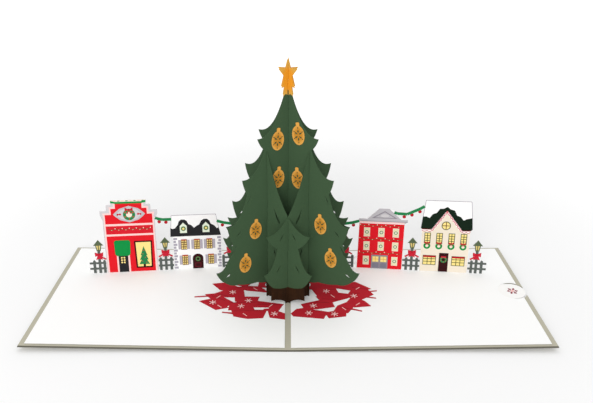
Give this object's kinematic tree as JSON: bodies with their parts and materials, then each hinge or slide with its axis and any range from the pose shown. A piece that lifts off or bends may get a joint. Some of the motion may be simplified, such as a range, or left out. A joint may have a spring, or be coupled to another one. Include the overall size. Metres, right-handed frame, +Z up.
{
  "type": "pop up card",
  "caption": "Folded greeting card opened flat: a slotted paper tree stands over the spine in front of a cut street of houses, with a pull-out note card in a side pocket.",
  "frame": {"origin": "middle of the spine at the lowest face of the cover, the centre of the bounding box's bottom", "axes": "+X to the right along the open card, +Y to the back, +Z up"},
  "size_m": [0.3556, 0.127, 0.178],
  "materials": {
    "cover_card": "matt sage grey card, crisp cut edges",
    "liner_paper": "smooth uncoated white paper",
    "glue_strip": "thin double-sided adhesive strip, matt",
    "note_paper": "smooth white card",
    "gift_paper": "crimson printed paper, satin",
    "street_card": "white card printed in flat colours",
    "trunk_card": "dark brown matt card",
    "tree_card": "deep green matt card",
    "ornament_card": "pearly amber card, pierced",
    "star_card": "pearly orange gold card"
  },
  "bodies": {
    "card": {"cover": "cover_card", "left_liner": "liner_paper", "right_liner": "liner_paper", "left_glue_strips": "glue_strip", "right_glue_strips": "glue_strip", "left_gift_layer": "gift_paper", "right_gift_layer": "gift_paper", "street_strip": "street_card", "trunk_plate_a_front": "trunk_card", "trunk_plate_a_middle": "trunk_card", "trunk_plate_a_back": "trunk_card", "trunk_plate_b_front": "trunk_card", "trunk_plate_b_middle": "trunk_card", "trunk_plate_b_back": "trunk_card", "tree_plate_a_front": "tree_card", "tree_plate_a_middle": "tree_card", "tree_plate_a_back": "tree_card", "tree_plate_b_front": "tree_card", "tree_plate_b_middle": "tree_card", "tree_plate_b_back": "tree_card", "ornament_front_1": "ornament_card", "ornament_front_2": "ornament_card", "ornament_front_3": "ornament_card", "ornament_front_4": "ornament_card", "ornament_front_5": "ornament_card", "ornament_front_6": "ornament_card", "ornament_front_7": "ornament_card", "ornament_front_8": "ornament_card", "ornament_back_1": "ornament_card", "ornament_back_2": "ornament_card", "ornament_back_3": "ornament_card", "ornament_back_4": "ornament_card", "ornament_back_5": "ornament_card", "ornament_back_6": "ornament_card", "ornament_back_7": "ornament_card", "ornament_back_8": "ornament_card", "star_a": "star_card", "star_b": "star_card"},
    "note": {"note_card": "note_paper"}
  },
  "joints": [
    {"name": "notecard_slide", "type": "slide", "parent": "card", "child": "note", "axis": [0.9998, 0, 0.02], "range_m": [0, 0.15]}
  ]
}
